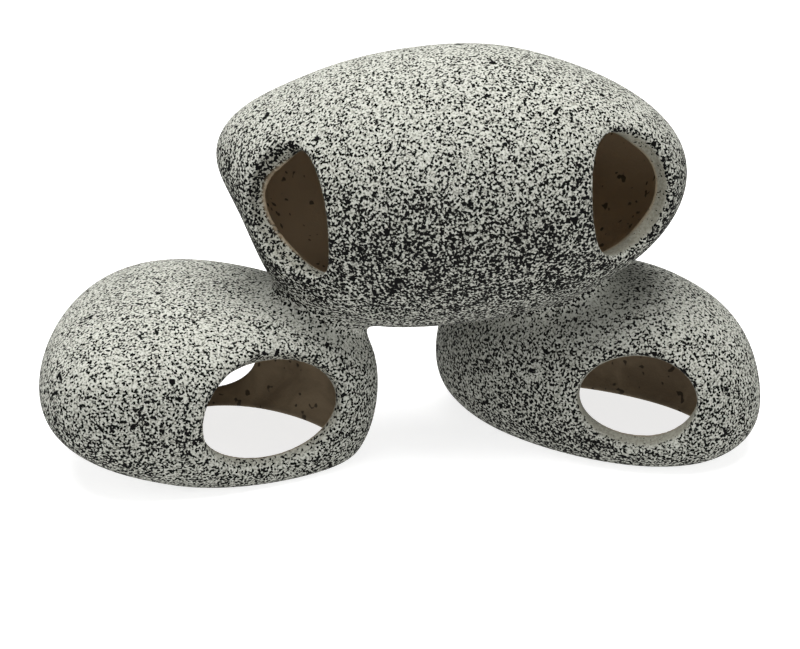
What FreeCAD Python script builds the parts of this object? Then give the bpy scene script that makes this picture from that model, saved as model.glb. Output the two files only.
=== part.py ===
import FreeCAD, Part

import os
from math import copysign, cos, exp, pi, radians, sin

# Resin cave ornament for an aquarium: three hollow cast pebbles joined by resin filler.
# Millimetres. +Z is up, the ornament stands on z = 0, and the origin is the middle of its base.
# +X runs along the row of pebbles and -Y is the front, where the mouths open.

V = FreeCAD.Vector

LOWER_WALL = 6.0
LOWER_WALL_AT_BASE = 1.5
UPPER_WALL = 6.5
LIP_RADIUS = 2.6
BOND_RADIUS = 7.0

# Every pebble is one smooth closed surface. half_size is its length, depth and height above and
# below the middle. squareness under 1 fills out the plan and the side profile; taper makes the
# right end deeper or taller than the left; lean shifts the top sideways; saddle lifts both ends;
# roll and yaw are in radians. Each swell is a shallow bulge, or a flat when negative, centred on
# the visible rim of the stone at that many degrees round from the right.
UPPER = {
    "middle": (14.86, 2.57, 86.07),
    "half_size": (72.3, 44.1, 40.5, 41.9),
    "squareness": (0.920, 1.038),
    "taper": (-0.025, 0.029),
    "lean": (-0.092, 0.011),
    "saddle": -0.1,
    "roll": 0.131,
    "yaw": -0.078,
    "swells": [(152, 0.193), (185, -0.185), (235, 0.163), (285, 0.013), (40, -0.043)],
}
LOWER_LEFT = {
    "middle": (-59.64, -3.85, 22.03),
    "half_size": (52.4, 44.9, 31.2, 27.15),
    "squareness": (0.876, 0.774),
    "taper": (-0.458, 0.202),
    "lean": (0.017, 0.034),
    "saddle": 0.2,
    "roll": -0.150,
    "yaw": -0.128,
    "swells": [],
}
LOWER_RIGHT = {
    "middle": (60.69, 11.26, 16.36),
    "half_size": (55.3, 33.4, 37.5, 23.3),
    "squareness": (0.951, 0.829),
    "taper": (0.097, 0.084),
    "lean": (-0.063, -0.014),
    "saddle": -1.0,
    "roll": 0.028,
    "yaw": -0.523,
    "swells": [],
}

# A mouth is an oval tunnel through one wall. heading is degrees round from the front towards +X,
# pitch is degrees upwards and tilt leans the oval's top to the left; inner and outer are the oval's
# half width and half height; shift moves the inner oval across and up, so that the lip flares more
# on the other side.
UPPER_LEFT_MOUTH = {
    "middle": (-33.8, -24.0, 85.3), "heading": -46, "pitch": 7, "tilt": 18,
    "inner": (9.6, 18.6), "outer": (14.0, 19.9), "shift": (2.8, -0.7), "reach": 24,
}
UPPER_RIGHT_MOUTH = {
    "middle": (66.7, -26.6, 92.3), "heading": 48, "pitch": 6, "tilt": -2,
    "inner": (12.2, 18.5), "outer": (13.7, 20.0), "shift": (-1.0, -0.5), "reach": 24,
}
LEFT_FRONT_MOUTH = {
    "middle": (-39.0, -35.4, 24.2), "heading": 23, "pitch": 11, "tilt": 1,
    "inner": (22.0, 14.4), "outer": (22.2, 18.6), "shift": (0.0, 1.2), "reach": 20,
}
LEFT_BACK_MOUTH = {
    "middle": (-62.4, 39.8, 13.2), "heading": 165, "pitch": -18, "tilt": 0,
    "inner": (17.0, 13.0), "outer": (18.2, 14.2), "shift": (0.0, 0.6), "reach": 24,
}
RIGHT_FRONT_MOUTH = {
    "middle": (70.8, -25.4, 24.0), "heading": -9, "pitch": 13, "tilt": 3,
    "inner": (18.0, 11.9), "outer": (18.2, 14.6), "shift": (0.4, 1.4), "reach": 20,
}

COLUMNS = 16
ROWS = 10


def signed_power(value, power):
    return copysign(abs(value) ** power, value)


def swell_at(x, y, z, swells):
    """Relative growth of the surface towards a few shallow bulges and flats near the front."""
    length = (x * x + y * y + z * z) ** 0.5
    total = 0.0
    for angle, height in swells:
        a = radians(angle)
        towards = (x * cos(a) + 0.407 * y * sin(a) + 0.914 * z * sin(a)) / length
        total += height * exp((towards - 1) / 0.10)
    return total


def pebble_pole(stone, wall, wall_below, column, row):
    """One control point of the pebble's surface, moved in by the wall thickness."""
    length, depth, up, down = stone["half_size"]
    length, depth, up, down = length - wall, depth - wall, up - wall, down - wall_below
    plan, profile = stone["squareness"]
    round_plan = 3 / (2 + cos(2 * pi / COLUMNS))
    around = 2 * pi * column / COLUMNS
    rise = pi * row / ROWS
    ring = abs(sin(rise)) ** profile * round_plan
    px = ring * signed_power(cos(around), plan)
    py = ring * signed_power(sin(around), plan)
    if row <= 1:
        pz = -1.0
    elif row >= ROWS - 1:
        pz = 1.0
    else:
        pz = -signed_power(cos(rise), profile)
    grow = 1 + swell_at(px, py, pz, stone["swells"])

    height = pz * (up if pz > 0 else down)
    x = (length * px + stone["lean"][0] * height) * grow
    y = (depth * py * (1 + stone["taper"][0] * px) + stone["lean"][1] * height) * grow
    z = (height * (1 + stone["taper"][1] * px) + stone["saddle"] * px * px) * grow

    roll, yaw = stone["roll"], stone["yaw"]
    x, z = x * cos(roll) - z * sin(roll), x * sin(roll) + z * cos(roll)
    x, y = x * cos(yaw) - y * sin(yaw), x * sin(yaw) + y * cos(yaw)
    return V(x, y, z) + V(*stone["middle"])


def pebble(stone, wall=0.0, wall_below=0.0):
    """A solid pebble, or with a wall thickness the hollow inside it, as a front and a back half."""
    poles = [[pebble_pole(stone, wall, wall_below, column, row) for row in range(ROWS + 1)]
             for column in range(COLUMNS)]
    around_knots = [float(k) for k in range(COLUMNS + 1)]
    rise_knots = [float(k) for k in range(ROWS - 1)]
    quarter = COLUMNS // 4
    halves = []
    for start in (quarter, 3 * quarter):
        surface = Part.BSplineSurface()
        surface.buildFromPolesMultsKnots(
            poles[start:] + poles[:start], [1] * (COLUMNS + 1), [4] + [1] * (ROWS - 3) + [4],
            around_knots, rise_knots, True, False, 3, 3)
        surface.setUNotPeriodic()
        surface.segment(0, COLUMNS / 2, 0, ROWS - 2)
        halves.append(surface.toShape())
    solid = Part.Solid(Part.makeShell(halves))
    if solid.Volume < 0:
        solid.reverse()
    return solid


def oval(middle, half_width, half_height, across, upward):
    """Closed oval wire with its width along across and its height along upward."""
    if half_width >= half_height:
        curve = Part.Ellipse(middle + across * half_width, middle + upward * half_height, middle)
    else:
        curve = Part.Ellipse(middle + upward * half_height, middle - across * half_width, middle)
    return Part.Wire([curve.toShape()])


def mouth_tunnel(mouth):
    """The oval passage, widening outwards, that a mouth cuts through the wall."""
    heading, pitch = radians(mouth["heading"]), radians(mouth["pitch"])
    outward = V(sin(heading) * cos(pitch), -cos(heading) * cos(pitch), sin(pitch))
    level = V(0, 0, 1).cross(outward).normalize()
    tilt = radians(mouth["tilt"])
    across = level * cos(tilt) + outward.cross(level) * sin(tilt)
    upward = outward.cross(across)
    rim_middle = V(*mouth["middle"])
    neck_middle = rim_middle + across * mouth["shift"][0] + upward * mouth["shift"][1]
    inside = oval(neck_middle - outward * mouth["reach"], *mouth["inner"], across, upward)
    neck = oval(neck_middle - outward * LOWER_WALL, *mouth["inner"], across, upward)
    rim = oval(rim_middle, *mouth["outer"], across, upward)
    outside = oval(rim_middle + outward * 12, *mouth["outer"], across, upward)
    return Part.makeLoft([inside, neck, rim, outside], True, False)


def edges_on(solid, surfaces, tolerance=0.05):
    """Edges of the solid that lie on every one of the given surfaces."""
    found = []
    for edge in solid.Edges:
        if edge.Length < 1:
            continue
        middle = edge.valueAt((edge.FirstParameter + edge.LastParameter) / 2)
        point = Part.Vertex(middle)
        if all(surface.distToShape(point)[0] < tolerance for surface in surfaces):
            found.append(edge)
    return found


def hollow_stone(stone, wall, wall_below, mouths):
    """A pebble shell above the floor, with its mouths cut and their outer lips rounded."""
    outer = pebble(stone)
    shell = outer.cut(pebble(stone, wall, wall_below))
    floor = Part.makeBox(400, 400, 60, V(-200, -200, -60))
    shell = shell.cut(floor)
    for mouth in mouths:
        tunnel = mouth_tunnel(mouth)
        shell = shell.cut(tunnel)
        rim = edges_on(shell, [outer.Shells[0], tunnel.Shells[0]])
        shell = shell.makeFillet(LIP_RADIUS, rim)
    return shell


def bond(upper, lower):
    """Concave ring of filler in the crease between two pebbles that touch."""
    joined = upper.fuse(lower)
    crease = edges_on(joined, [upper.Shells[0], lower.Shells[0]])
    filled = joined.makeFillet(BOND_RADIUS, crease)
    return filled.cut([upper, lower], 0.002)


def main():
    os.makedirs("parts", exist_ok=True)
    upper_body = pebble(UPPER)
    left_body = pebble(LOWER_LEFT)
    right_body = pebble(LOWER_RIGHT)
    upper = hollow_stone(UPPER, UPPER_WALL, UPPER_WALL, [UPPER_LEFT_MOUTH, UPPER_RIGHT_MOUTH])
    nodes = {
        "upper_stone": upper.cut(left_body).cut(right_body),
        "lower_left_stone": hollow_stone(
            LOWER_LEFT, LOWER_WALL, LOWER_WALL_AT_BASE, [LEFT_FRONT_MOUTH, LEFT_BACK_MOUTH]),
        "lower_right_stone": hollow_stone(
            LOWER_RIGHT, LOWER_WALL, LOWER_WALL_AT_BASE, [RIGHT_FRONT_MOUTH]),
        "left_bond_fillet": bond(upper_body, left_body),
        "right_bond_fillet": bond(upper_body, right_body),
    }
    for name, shape in nodes.items():
        box = shape.BoundBox
        print(name, shape.isValid(), len(shape.Solids), round(shape.Volume),
              [round(v, 1) for v in (box.XMin, box.XMax, box.YMin, box.YMax, box.ZMin, box.ZMax)])
        shape.exportStep(f"parts/{name}.step")


main()
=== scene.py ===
import math

import bpy
import numpy as np
import openvdb
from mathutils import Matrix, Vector


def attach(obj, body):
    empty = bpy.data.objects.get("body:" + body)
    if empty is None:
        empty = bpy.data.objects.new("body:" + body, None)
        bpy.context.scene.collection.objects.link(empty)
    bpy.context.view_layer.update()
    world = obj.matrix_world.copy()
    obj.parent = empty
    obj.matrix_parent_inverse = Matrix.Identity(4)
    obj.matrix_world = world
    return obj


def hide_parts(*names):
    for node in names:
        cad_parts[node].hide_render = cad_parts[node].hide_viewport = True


# Resin cave ornament: three hollow speckled pebbles bonded into one cluster.
# +X runs along the row of pebbles, -Y is the front and the ornament stands on z = 0. Shapes are
# worked out in millimetres as distance fields, then meshed in metres, and materials, lights and
# camera are in metres too.

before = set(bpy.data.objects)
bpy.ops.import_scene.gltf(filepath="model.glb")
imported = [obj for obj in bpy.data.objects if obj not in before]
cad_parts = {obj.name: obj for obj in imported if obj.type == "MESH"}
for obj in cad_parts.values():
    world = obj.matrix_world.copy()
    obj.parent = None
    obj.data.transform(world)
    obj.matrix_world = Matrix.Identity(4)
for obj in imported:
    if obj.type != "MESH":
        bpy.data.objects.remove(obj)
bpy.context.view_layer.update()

VOXEL = 0.6
BAND = 13.0  # how far from a pebble's surface its distance field is true
MARGIN = 6.0  # room around a pebble in its box of voxels
COLUMNS = 16  # control points around a pebble
ROWS = 10  # steps between control points from its bottom to its top
LOWER_WALL = 6.0
LOWER_WALL_AT_BASE = 1.5
UPPER_WALL = 6.5
TUNNEL_REACH = 26.0  # how far a mouth's passage runs in from its rim
INNER_LIP = 1.6  # rounding of a mouth's inner edge and of the edge on the floor
BOND_SINK = 0.06  # lowers the filler's surface, so that beyond the crease the pebbles hide it
BOND_ROOT = 1.8  # how deep the hidden part of the filler lies in the pebbles
LEFT_BOND_REACH = 9.0  # width of the blend between two pebbles
RIGHT_BOND_REACH = 8.0

# Where the surface's attributes fade, in millimetres: from none of the attribute to all of it.
INSIDE_FADE = (1.6, 0.4)  # to the cavity's wall
# deep marks the far inner walls of the upper pebble, which turn a paler brown: painted light.
DEEP_FADE = (2.0, 9.0)  # from the mouths' passages
DEEP_RISE = (45.0, 65.0)  # above the floor
CUT_WALL_FADE = (4.0, 1.0)  # to a mouth's passage
CUT_DEPTH_FADE = (0.7, 2.6)  # in from the pebble's surface
CREASE_FADE = (9.0, 1.5)  # to the neighbouring pebble
# Painted shade darkens the last few millimetres above the floor.
FOOT_FADE = (3.0, 0.2)  # to the floor
FAR = 99.0  # more than the distance to any neighbour

# Swells lie on the rim of a pebble as it is seen from 24 degrees above the front.
RIM_DEPTH = 0.407
RIM_HEIGHT = 0.914
SWELL_SPREAD = 0.10

# half_size is length, depth and height above and below the middle. squareness under 1 fills out the
# plan and the side profile; taper makes the right end deeper or taller; lean shifts the top; saddle
# lifts both ends; roll and yaw are in radians. A swell is a shallow bulge, or a flat when negative,
# on the stone's visible rim at that many degrees round from the right.
UPPER = {
    "middle": (14.86, 2.57, 86.07),
    "half_size": (72.3, 44.1, 40.5, 41.9),
    "squareness": (0.920, 1.038),
    "taper": (-0.025, 0.029),
    "lean": (-0.092, 0.011),
    "saddle": -0.1,
    "roll": 0.131,
    "yaw": -0.078,
    "swells": [(152, 0.193), (185, -0.185), (235, 0.163), (285, 0.013), (40, -0.043)],
}
LOWER_LEFT = {
    "middle": (-59.64, -3.85, 22.03),
    "half_size": (52.4, 44.9, 31.2, 27.15),
    "squareness": (0.876, 0.774),
    "taper": (-0.458, 0.202),
    "lean": (0.017, 0.034),
    "saddle": 0.2,
    "roll": -0.150,
    "yaw": -0.128,
    "swells": [],
}
LOWER_RIGHT = {
    "middle": (60.69, 11.26, 16.36),
    "half_size": (55.3, 33.4, 37.5, 23.3),
    "squareness": (0.951, 0.829),
    "taper": (0.097, 0.084),
    "lean": (-0.063, -0.014),
    "saddle": -1.0,
    "roll": 0.028,
    "yaw": -0.523,
    "swells": [],
}

# heading is degrees round from the front towards +X, pitch is degrees upwards and tilt leans the
# oval's top to the left. inner and outer are half width and half height, and shift moves the inner
# oval across and up. lip rounds the outer edge. The last number darkens the cut wall and lip
# towards
# a thin brownish grey: partly a thinner coating on the cut wall, partly painted shade on the lip.
# The upper left mouth's darkened lip is painted shade.
UPPER_LEFT_MOUTH = {
    "middle": (-33.8, -24.0, 85.3), "heading": -46, "pitch": 7, "tilt": 18,
    "inner": (9.6, 18.6), "outer": (14.0, 19.9), "shift": (2.8, -0.7), "lip": 3.2, "bare_and_shade": 0.55,
}
UPPER_RIGHT_MOUTH = {
    "middle": (66.7, -26.6, 92.3), "heading": 48, "pitch": 6, "tilt": -2,
    "inner": (12.2, 18.5), "outer": (13.7, 20.0), "shift": (-1.0, -0.5), "lip": 2.8, "bare_and_shade": 1.0,
}
LEFT_FRONT_MOUTH = {
    "middle": (-39.0, -35.4, 24.2), "heading": 23, "pitch": 11, "tilt": 1,
    "inner": (22.0, 14.4), "outer": (22.2, 18.6), "shift": (0.0, 1.2), "lip": 3.4, "bare_and_shade": 0.55,
}
LEFT_BACK_MOUTH = {
    "middle": (-62.4, 39.8, 13.2), "heading": 165, "pitch": -18, "tilt": 0,
    "inner": (17.0, 13.0), "outer": (18.2, 14.2), "shift": (0.0, 0.6), "lip": 3.0, "bare_and_shade": 0.5,
}
RIGHT_FRONT_MOUTH = {
    "middle": (70.8, -25.4, 24.0), "heading": -9, "pitch": 13, "tilt": 3,
    "inner": (18.0, 11.9), "outer": (18.2, 14.6), "shift": (0.4, 1.4), "lip": 3.2, "bare_and_shade": 0.85,
}


# ---------------------------------------------------------------- pebble surfaces

def signed_power(values, power):
    return np.sign(values) * np.abs(values) ** power


def pebble_net(stone):
    """Control points of one pebble: rows from bottom to top, columns around."""
    length, depth, up, down = stone["half_size"]
    plan, profile = stone["squareness"]
    around = 2 * math.pi * np.arange(COLUMNS) / COLUMNS
    rise = math.pi * np.arange(ROWS + 1) / ROWS
    ring = np.abs(np.sin(rise)) ** profile * 3 / (2 + math.cos(2 * math.pi / COLUMNS))
    level = -signed_power(np.cos(rise), profile)
    level[:2] = -1
    level[-2:] = 1
    px = np.outer(ring, signed_power(np.cos(around), plan))
    py = np.outer(ring, signed_power(np.sin(around), plan))
    pz = np.repeat(level[:, None], COLUMNS, 1)

    reach = np.sqrt(px ** 2 + py ** 2 + pz ** 2)
    grow = np.ones_like(px)
    for angle, height in stone["swells"]:
        a = math.radians(angle)
        towards = (px * math.cos(a) + RIM_DEPTH * py * math.sin(a)
                   + RIM_HEIGHT * pz * math.sin(a)) / reach
        grow += height * np.exp((towards - 1) / SWELL_SPREAD)

    height = pz * np.where(pz > 0, up, down)
    x = (length * px + stone["lean"][0] * height) * grow
    y = (depth * py * (1 + stone["taper"][0] * px) + stone["lean"][1] * height) * grow
    z = (height * (1 + stone["taper"][1] * px) + stone["saddle"] * px ** 2) * grow
    roll, yaw = stone["roll"], stone["yaw"]
    x, z = x * math.cos(roll) - z * math.sin(roll), x * math.sin(roll) + z * math.cos(roll)
    x, y = x * math.cos(yaw) - y * math.sin(yaw), x * math.sin(yaw) + y * math.cos(yaw)
    return np.stack([x, y, z], -1) + np.array(stone["middle"])


def around_weights(samples):
    """Closed uniform cubic spline weights, one row for each sample."""
    t = np.arange(samples) * COLUMNS / samples
    start = t.astype(int)
    f = t - start
    parts = [(1 - f) ** 3 / 6, (3 * f ** 3 - 6 * f ** 2 + 4) / 6,
             (-3 * f ** 3 + 3 * f ** 2 + 3 * f + 1) / 6, f ** 3 / 6]
    weights = np.zeros((samples, COLUMNS))
    for step, part in enumerate(parts):
        weights[np.arange(samples), (start - 1 + step) % COLUMNS] += part
    return weights


def rise_weights(samples):
    """Clamped uniform cubic spline weights, one row for each sample."""
    count = ROWS + 1
    knots = np.concatenate([[0] * 3, np.linspace(0, 1, count - 2), [1] * 3])
    t = np.linspace(0, 1, samples)
    t[-1] = 1 - 1e-12
    basis = ((knots[:-1] <= t[:, None]) & (t[:, None] < knots[1:])).astype(float)
    for degree in (1, 2, 3):
        raised = np.zeros((samples, basis.shape[1] - 1))
        for i in range(raised.shape[1]):
            left, right = knots[i + degree] - knots[i], knots[i + degree + 1] - knots[i + 1]
            if left > 0:
                raised[:, i] += (t - knots[i]) / left * basis[:, i]
            if right > 0:
                raised[:, i] += (knots[i + degree + 1] - t) / right * basis[:, i + 1]
        basis = raised
    return basis


def pebble_mesh(stone, columns=160, rows=121):
    """Triangles of a whole solid pebble."""
    grid = np.einsum("vm,mnc,un->vuc",
                     rise_weights(rows), pebble_net(stone), around_weights(columns))
    inner = grid[1:-1]
    points = np.concatenate([grid[:1, 0], inner.reshape(-1, 3), grid[-1:, 0]])
    top = len(points) - 1
    i, j = np.meshgrid(np.arange(len(inner) - 1), np.arange(columns), indexing="ij")
    k = (j + 1) % columns
    a, b = 1 + i * columns + j, 1 + i * columns + k
    c, d = b + columns, a + columns
    side = np.concatenate([np.stack(corners, -1).reshape(-1, 3)
                           for corners in ((a, b, c), (a, c, d))])
    ring, after = np.arange(columns), (np.arange(columns) + 1) % columns
    last = 1 + (len(inner) - 1) * columns
    below = np.stack([np.zeros_like(ring), 1 + after, 1 + ring], -1)
    above = np.stack([np.full_like(ring, top), last + ring, last + after], -1)
    return points, np.concatenate([side, below, above])


# ---------------------------------------------------------------- distance fields

class Block:
    """A box of voxels in which distance fields are combined."""

    def __init__(self, low, high):
        self.start = np.floor(np.array(low) / VOXEL).astype(int)
        self.shape = tuple(np.ceil(np.array(high) / VOXEL).astype(int) - self.start + 1)
        axes = [(self.start[k] + np.arange(self.shape[k])) * VOXEL for k in range(3)]
        self.x, self.y, self.z = np.ix_(*[axis.astype(np.float32) for axis in axes])

    def pebble(self, stone):
        """Signed distance to a solid pebble, negative inside."""
        points, triangles = pebble_mesh(stone)
        transform = openvdb.createLinearTransform(voxelSize=VOXEL)
        grid = openvdb.FloatGrid.createLevelSetFromPolygons(
            points.astype(np.float32), triangles=triangles.astype(np.uint32),
            transform=transform, halfWidth=BAND / VOXEL)
        field = np.zeros(self.shape, np.float32)
        grid.copyToArray(field, ijk=tuple(int(v) for v in self.start))
        return field

    def tunnel(self, mouth):
        """Signed distance to a mouth's flared oval passage, negative inside."""
        heading, pitch = math.radians(mouth["heading"]), math.radians(mouth["pitch"])
        outward = Vector((math.sin(heading) * math.cos(pitch),
                          -math.cos(heading) * math.cos(pitch), math.sin(pitch)))
        level = Vector((0, 0, 1)).cross(outward).normalized()
        tilt = math.radians(mouth["tilt"])
        across = level * math.cos(tilt) + outward.cross(level) * math.sin(tilt)
        upward = outward.cross(across)
        dx, dy, dz = (axis - at for axis, at in zip((self.x, self.y, self.z), mouth["middle"]))
        along = dx * outward.x + dy * outward.y + dz * outward.z
        side = dx * across.x + dy * across.y + dz * across.z
        rise = dx * upward.x + dy * upward.y + dz * upward.z
        flare = smooth_step(-LOWER_WALL, 0, along)
        half_width = mouth["inner"][0] + (mouth["outer"][0] - mouth["inner"][0]) * flare
        half_height = mouth["inner"][1] + (mouth["outer"][1] - mouth["inner"][1]) * flare
        side = side - mouth["shift"][0] * (1 - flare)
        rise = rise - mouth["shift"][1] * (1 - flare)
        k0 = np.sqrt((side / half_width) ** 2 + (rise / half_height) ** 2) + 1e-6
        k1 = np.sqrt((side / half_width ** 2) ** 2 + (rise / half_height ** 2) ** 2) + 1e-6
        oval = k0 * (k0 - 1) / k1
        return np.maximum(oval, -along - TUNNEL_REACH).astype(np.float32)

    def at(self, field, points):
        """Field values at points in millimetres, between the voxels."""
        place = points / VOXEL - self.start
        cell = np.clip(np.floor(place).astype(int), 0, np.array(self.shape) - 2)
        f = place - cell
        total = np.zeros(len(points))
        for corner in range(8):
            pick = np.array([corner & 1, corner >> 1 & 1, corner >> 2 & 1])
            weight = np.prod(np.where(pick, f, 1 - f), 1)
            i, j, k = (cell + pick).T
            total += weight * field[i, j, k]
        return total

    def surface(self, field):
        """Points and quads of the field's zero surface."""
        grid = openvdb.FloatGrid(float(BAND))
        grid.copyFromArray(np.clip(field, -BAND, BAND).astype(np.float32),
                           ijk=tuple(int(v) for v in self.start))
        grid.transform = openvdb.createLinearTransform(voxelSize=VOXEL)
        points, quads = grid.convertToQuads(isovalue=0.0)
        return largest_part(points.astype(float), quads.astype(int))


def largest_part(points, faces):
    """The largest connected part of a mesh, without any loose flakes."""
    label = np.arange(len(points))
    while True:
        lowest = label[faces].min(1)
        spread = label.copy()
        for corner in range(faces.shape[1]):
            np.minimum.at(spread, faces[:, corner], lowest)
        spread = spread[spread]
        if np.array_equal(spread, label):
            break
        label = spread
    kept = label == np.bincount(label).argmax()
    renumbered = np.cumsum(kept) - 1
    return points[kept], renumbered[faces[kept[faces[:, 0]]]]


def smooth_max(a, b, reach):
    blend = np.clip(reach - np.abs(a - b), 0, None)
    return np.maximum(a, b) + blend * blend / (4 * reach)


def smooth_min(a, b, reach):
    return -smooth_max(-a, -b, reach)


def smooth_step(low, high, values):
    t = np.clip((values - low) / (high - low), 0, 1)
    return t * t * (3 - 2 * t)


# ---------------------------------------------------------------- meshes

def mesh_object(name, points, faces, attributes, material):
    """A smooth mesh in metres with one float attribute for each given array."""
    mesh = bpy.data.meshes.new(name)
    corners = faces.shape[1]
    mesh.vertices.add(len(points))
    mesh.vertices.foreach_set("co", (points / 1000).astype(np.float32).ravel())
    mesh.loops.add(faces.size)
    mesh.loops.foreach_set("vertex_index", faces.astype(np.int32).ravel())
    mesh.polygons.add(len(faces))
    mesh.polygons.foreach_set("loop_start", np.arange(0, faces.size, corners, dtype=np.int32))
    mesh.polygons.foreach_set("use_smooth", np.ones(len(faces), bool))
    mesh.update(calc_edges=True)
    mesh.validate()
    for key, values in attributes.items():
        layer = mesh.attributes.new(key, "FLOAT", "POINT")
        layer.data.foreach_set("value", values.astype(np.float32))
    mesh.materials.append(material)
    obj = bpy.data.objects.new(name, mesh)
    bpy.context.scene.collection.objects.link(obj)
    return obj


def hollow_in(stone, wall, wall_below):
    """The pebble-shaped cavity inside a stone."""
    length, depth, up, down = stone["half_size"]
    return dict(stone, half_size=(length - wall, depth - wall, up - wall, down - wall_below))


def stone_box(stone):
    """Lowest and highest corners of a box around a pebble, with some room."""
    points, _ = pebble_mesh(stone, columns=48, rows=41)
    return points.min(0) - MARGIN, points.max(0) + MARGIN


def build_stone(name, node, stone, walls, mouths, neighbours, rests_on, material):
    """A hollow pebble with rounded mouths, cut flat on the floor.

    rests_on says that the stone is also cut to fit the neighbours it rests on.
    """
    low, high = stone_box(stone)
    low[2] = max(low[2], -MARGIN)
    block = Block(low, high)
    outer = block.pebble(stone)
    shell = outer
    for mouth in mouths:
        shell = smooth_max(shell, -block.tunnel(mouth), mouth["lip"])
    cavity = block.pebble(hollow_in(stone, *walls))
    shell = smooth_max(shell, -cavity, INNER_LIP)
    shell = smooth_max(shell, -block.z + np.zeros_like(shell), INNER_LIP)
    if rests_on:
        for other in neighbours:
            shell = np.maximum(shell, -block.pebble(other))
    points, faces = block.surface(shell)

    height = points[:, 2]
    # Cut walls and lips darken: partly a thinner coat, partly painted shade.
    bare_and_shade = np.zeros(len(points))
    deep = np.ones(len(points))
    for mouth in mouths:
        to_passage = block.at(block.tunnel(mouth), points)
        cut_wall = smooth_step(*CUT_WALL_FADE, np.abs(to_passage))
        bare_and_shade = np.maximum(bare_and_shade, mouth["bare_and_shade"] * cut_wall)
        deep = np.minimum(deep, smooth_step(*DEEP_FADE, to_passage))
    to_neighbour = np.full(len(points), FAR)
    for other in neighbours:
        to_neighbour = np.minimum(to_neighbour, block.at(block.pebble(other), points))
    attributes = {
        "inside": smooth_step(*INSIDE_FADE, block.at(cavity, points)),
        "deep": deep * smooth_step(*DEEP_RISE, height),
        "bare_and_shade": bare_and_shade * smooth_step(*CUT_DEPTH_FADE, -block.at(outer, points)),
        "crease": smooth_step(*CREASE_FADE, to_neighbour),
        # Where the painted shade at the foot lies.
        "under": smooth_step(*FOOT_FADE, height),
    }
    obj = mesh_object(name, points, faces, attributes, material)
    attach(obj, "root")
    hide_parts(node)


def build_bond(name, node, upper, lower, reach, material):
    """The filler that rounds off the crease between two touching pebbles."""
    low_u, high_u = stone_box(upper)
    low_l, high_l = stone_box(lower)
    block = Block(np.maximum(low_u, low_l), np.minimum(high_u, high_l))
    a, b = block.pebble(upper), block.pebble(lower)
    bond = smooth_min(a, b, reach) + BOND_SINK
    bond = np.maximum(bond, -(np.minimum(a, b) + BOND_ROOT))
    bond = np.maximum(bond, np.maximum(a, b) - reach)
    points, faces = block.surface(bond)
    attributes = {key: np.zeros(len(points)) for key in ("inside", "deep", "bare_and_shade", "under")}
    attributes["crease"] = np.ones(len(points))
    obj = mesh_object(name, points, faces, attributes, material)
    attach(obj, "root")
    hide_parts(node)


# ---------------------------------------------------------------- materials

class Nodes:
    """Short helpers for writing a shader tree."""

    def __init__(self, name):
        self.material = bpy.data.materials.new(name)
        self.material.use_nodes = True
        self.tree = self.material.node_tree
        self.tree.nodes.clear()

    def add(self, kind, inputs=None, **settings):
        node = self.tree.nodes.new(kind)
        for key, value in settings.items():
            setattr(node, key, value)
        for key, value in (inputs or {}).items():
            if isinstance(value, bpy.types.NodeSocket):
                self.tree.links.new(value, node.inputs[key])
            else:
                node.inputs[key].default_value = value
        return node

    def math(self, operation, *values):
        node = self.add("ShaderNodeMath", dict(enumerate(values)), operation=operation)
        return node.outputs[0]

    def scaled(self, value, factor):
        return self.math("MULTIPLY", value, factor)

    def add_scaled(self, total, value, factor):
        return self.math("ADD", total, self.scaled(value, factor))

    def attribute(self, name):
        return self.add("ShaderNodeAttribute", attribute_name=name).outputs["Fac"]

    def noise(self, vector, scale, detail=1.0, roughness=0.5, distortion=0.0):
        return self.add("ShaderNodeTexNoise", {
            "Vector": vector, "Scale": scale, "Detail": detail, "Roughness": roughness,
            "Distortion": distortion}).outputs["Fac"]

    def step(self, value, low, high):
        """Smooth rise from 0 to 1 as the value goes from low to high."""
        return self.add("ShaderNodeMapRange", {
            "Value": value, "From Min": low, "From Max": high, "To Min": 0.0, "To Max": 1.0},
            interpolation_type="SMOOTHSTEP").outputs["Result"]

    def mix(self, factor, first, second):
        return self.add("ShaderNodeMix", {0: factor, 6: first, 7: second},
                        data_type="RGBA").outputs[2]


# Colours are linear. A pair runs from the darker to the lighter grain of one surface.
GRAIN_RANGE = (0.3, 0.7)
PALE = ((0.315, 0.32, 0.282, 1), (0.445, 0.45, 0.405, 1))
# Cut walls and lips: partly the thinner coat, partly painted shade.
THIN_COAT_AND_SHADE = ((0.15, 0.145, 0.115, 1), (0.22, 0.215, 0.175, 1))
BROWN = ((0.17, 0.13, 0.085, 1), (0.29, 0.23, 0.155, 1))
# Paler brown for the far walls inside the upper pebble: painted light where little light reaches.
DEEP_PAINTED_LIGHT_BROWN = (0.48, 0.375, 0.25, 1)
DRIP = (0.014, 0.011, 0.008, 1)
GREY_FLECK = (0.085, 0.085, 0.07, 1)
BLACK_FLECK = (0.004, 0.004, 0.004, 1)
# Painted shade at the foot, where a pebble meets the floor.
FOOT_SHADE = (0.08, 0.08, 0.07, 1)

# Black flecks are cells about 1.1 mm apart with ragged edges. The cells and the ragged noise are
# weighted so that their sum has the mean and spread of plain noise.
CELL_SCALE = 900.0
CELL_MEAN = 0.554
CELL_SHARE = 0.36
RAGGED_SHARE = 0.65
RAGGED_OFFSET = 0.175
BLACK_RANGE = (0.458, 0.524)
GREY_RANGE = (0.38, 0.54)
GREY_SHARE = 0.66
CLUMP_RANGE = (0.665, 0.695)
CLUMP_SHARE = 0.6
DRIP_RANGE = (0.655, 0.70)
DRIP_SHARE = 0.75
# How strong the painted shade at the foot is.
FOOT_SHADE_SHARE = 0.3

# How much each thing adds to the share of flecks.
CLUSTER_EFFECT = 0.07
BROAD_EFFECT = 0.05
BARE_EFFECT = -0.16
CREASE_EFFECT = -0.03
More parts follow.
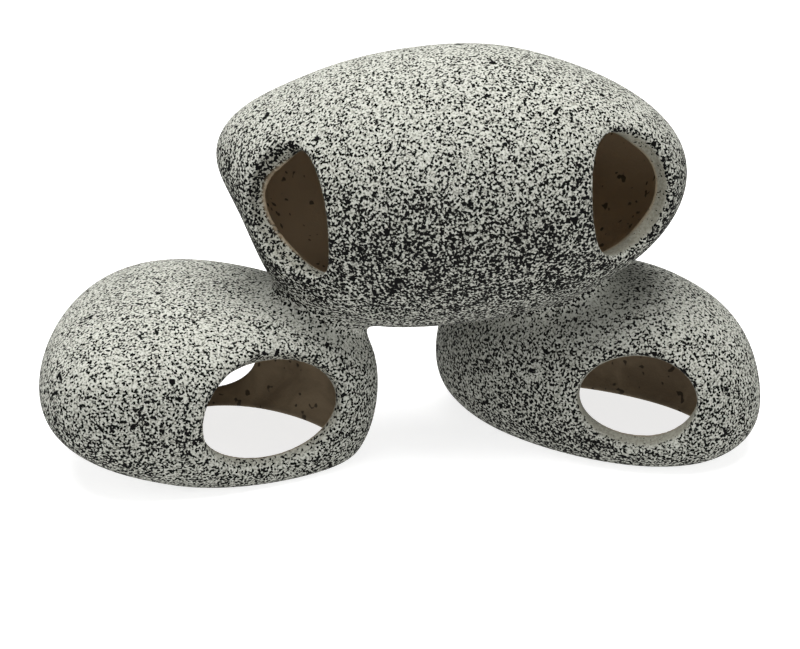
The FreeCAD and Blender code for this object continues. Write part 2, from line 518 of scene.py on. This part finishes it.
# Fewer flecks on top: partly a thinner spray, partly painted light.
TOP_EFFECT = -0.074
# More flecks on the belly: partly a denser spray, partly painted shade.
BELLY_FLECKS_AND_SHADE_EFFECT = 0.022
# Fewer flecks low down: painted light on the lower parts.
LOW_EFFECT = -0.018


def fleck_shift(n, place, bare_and_shade, crease):
    """Flecks crowd on the sides and thin out on top, low down, in creases and on cut walls."""
    upward = n.add("ShaderNodeSeparateXYZ", {
        0: n.add("ShaderNodeTexCoord").outputs["Normal"]}).outputs[2]
    height = n.add("ShaderNodeSeparateXYZ", {0: place}).outputs[2]
    # The belly band gets more flecks: partly a denser spray, partly painted shade.
    belly_flecks_and_shade = n.math("SUBTRACT", n.step(height, 0.045, 0.075), n.step(height, 0.085, 0.115))
    cluster = n.noise(place, 110.0, 2.0)
    broad = n.noise(place, 22.0)
    shift = n.scaled(n.math("SUBTRACT", cluster, 0.5), CLUSTER_EFFECT)
    shift = n.add_scaled(shift, n.math("SUBTRACT", broad, 0.5), BROAD_EFFECT)
    shift = n.add_scaled(shift, n.step(bare_and_shade, 0.5, 1.0), BARE_EFFECT)
    shift = n.add_scaled(shift, crease, CREASE_EFFECT)
    # Fewer flecks on top and more on the belly: partly spray, partly painted light and shade.
    shift = n.add_scaled(shift, n.step(upward, -0.5, 0.95), TOP_EFFECT)
    shift = n.add_scaled(shift, belly_flecks_and_shade, BELLY_FLECKS_AND_SHADE_EFFECT)
    # Fewer flecks low down: painted light.
    return n.add_scaled(shift, n.step(height, 0.040, 0.008), LOW_EFFECT)


def stone_material():
    """Sprayed stone coating: warm pale grey with black flecks, brown cast resin inside, plus
    painted light and shade.
    """
    n = Nodes("speckled_resin")
    place = n.add("ShaderNodeTexCoord").outputs["Object"]
    bare_and_shade = n.attribute("bare_and_shade")
    shift = fleck_shift(n, place, bare_and_shade, n.attribute("crease"))

    cells = n.add("ShaderNodeTexVoronoi", {
        "Vector": place, "Scale": CELL_SCALE}).outputs["Distance"]
    ragged = n.noise(place, 1500.0, 1.5, 0.55, 0.25)
    flecks = n.math("ADD", n.scaled(n.math("SUBTRACT", CELL_MEAN, cells), CELL_SHARE),
                    n.math("ADD", n.scaled(ragged, RAGGED_SHARE), RAGGED_OFFSET))
    black = n.step(n.math("ADD", flecks, shift), *BLACK_RANGE)
    clumps = n.add_scaled(n.noise(place, 330.0, distortion=0.4), shift, CLUMP_SHARE)
    black = n.math("MAXIMUM", black, n.step(clumps, *CLUMP_RANGE))
    grey = n.step(n.math("ADD", n.noise(place, 1500.0), shift), *GREY_RANGE)

    grain = n.noise(place, 1300.0, 2.0, 0.6)
    grain_level = n.step(grain, *GRAIN_RANGE)
    coated = n.mix(n.scaled(grey, GREY_SHARE), n.mix(grain_level, *PALE), GREY_FLECK)
    coated = n.mix(black, coated, BLACK_FLECK)
    # Cut walls and lips turn a thin brownish grey: partly a thinner coat, partly painted shade.
    thin = n.mix(grain_level, *THIN_COAT_AND_SHADE)
    coated = n.mix(n.math("MULTIPLY", bare_and_shade, n.math("SUBTRACT", 1.0, black)), coated, thin)

    streak = n.noise(place, 60.0, 4.0, 0.6, 0.6)
    brown = n.mix(n.step(streak, *GRAIN_RANGE), *BROWN)
    # Painted light: the far walls inside the upper pebble turn a paler brown.
    brown = n.mix(n.attribute("deep"), brown, DEEP_PAINTED_LIGHT_BROWN)
    drips = n.step(n.noise(place, 330.0, distortion=0.2), *DRIP_RANGE)
    brown = n.mix(n.scaled(drips, DRIP_SHARE), brown, DRIP)
    colour = n.mix(n.attribute("inside"), coated, brown)
    # Painted shade: darker towards the floor, where a pebble meets it.
    colour = n.mix(n.scaled(n.attribute("under"), FOOT_SHADE_SHARE), colour, FOOT_SHADE)

    relief = n.math("ADD", n.scaled(grain, 0.5), n.scaled(flecks, 0.5))
    bump = n.add("ShaderNodeBump", {"Strength": 0.35, "Distance": 0.0004, "Height": relief})
    rough = n.math("ADD", 0.72, n.scaled(grain, 0.2))
    shader = n.add("ShaderNodeBsdfPrincipled", {
        "Base Color": colour, "Roughness": rough, "Normal": bump.outputs[0]})
    shader.inputs["Specular IOR Level"].default_value = 0.03
    n.add("ShaderNodeOutputMaterial", {"Surface": shader.outputs[0]})
    return n.material


# ---------------------------------------------------------------- stage

def make_floor():
    """A pale floor just under the ornament. It glows a little, so that it shows as white."""
    half, level = 9000, -0.1
    points = np.array([[-half, -half, level], [half, -half, level],
                       [half, half, level], [-half, half, level]])
    n = Nodes("floor_white")
    shader = n.add("ShaderNodeBsdfPrincipled", {
        "Base Color": (0.5, 0.5, 0.5, 1), "Roughness": 0.9,
        "Emission Color": (1, 1, 1, 1), "Emission Strength": 0.78})
    shader.inputs["Specular IOR Level"].default_value = 0.0
    n.add("ShaderNodeOutputMaterial", {"Surface": shader.outputs[0]})
    mesh_object("floor", points, np.array([[0, 1, 2, 3]]), {}, n.material)


def make_light(name, location, target, size, energy):
    light = bpy.data.lights.new(name, "AREA")
    light.shape = "DISK"
    light.size = size
    light.energy = energy
    obj = bpy.data.objects.new(name, light)
    obj.location = location
    obj.rotation_euler = (Vector(target) - Vector(location)).to_track_quat("-Z", "Y").to_euler()
    bpy.context.scene.collection.objects.link(obj)


def make_lights():
    """A large softbox above, a weaker one on each side and a pale surround."""
    make_light("top_softbox", (-0.10, 0.05, 1.1), (0, 0, 0.05), 1.1, 24.0)
    make_light("left_softbox", (-1.3, -0.5, 0.9), (0, 0, 0.06), 0.8, 4.0)
    make_light("right_softbox", (1.3, -0.6, 0.6), (0, 0, 0.06), 0.8, 5.0)
    world = bpy.data.worlds.new("studio")
    bpy.context.scene.world = world
    world.use_nodes = True
    background = world.node_tree.nodes["Background"]
    background.inputs["Color"].default_value = (1, 1, 1, 1)
    background.inputs["Strength"].default_value = 0.30
    bpy.context.scene.view_settings.view_transform = "Standard"


def make_camera():
    """Looks 24 degrees down from the front."""
    elevation = math.radians(24)
    distance = 0.8
    target = Vector((-0.00095, -0.02526, 0.050))
    camera = bpy.data.cameras.new("camera")
    camera.sensor_width = 36
    camera.lens = 120
    camera.clip_start = 0.01
    obj = bpy.data.objects.new("camera", camera)
    obj.location = target - distance * Vector((0, math.cos(elevation), -math.sin(elevation)))
    obj.rotation_euler = (math.pi / 2 - elevation, 0, 0)
    bpy.context.scene.collection.objects.link(obj)
    bpy.context.scene.camera = obj


resin = stone_material()
upper_walls = (UPPER_WALL, UPPER_WALL)
lower_walls = (LOWER_WALL, LOWER_WALL_AT_BASE)
build_stone("upper_pebble", "upper_stone", UPPER, upper_walls,
            [UPPER_LEFT_MOUTH, UPPER_RIGHT_MOUTH], [LOWER_LEFT, LOWER_RIGHT], True, resin)
build_stone("lower_left_pebble", "lower_left_stone", LOWER_LEFT, lower_walls,
            [LEFT_FRONT_MOUTH, LEFT_BACK_MOUTH], [UPPER], False, resin)
build_stone("lower_right_pebble", "lower_right_stone", LOWER_RIGHT, lower_walls,
            [RIGHT_FRONT_MOUTH], [UPPER], False, resin)
build_bond("left_bond", "left_bond_fillet", UPPER, LOWER_LEFT, LEFT_BOND_REACH, resin)
build_bond("right_bond", "right_bond_fillet", UPPER, LOWER_RIGHT, RIGHT_BOND_REACH, resin)
make_floor()
make_lights()
make_camera()
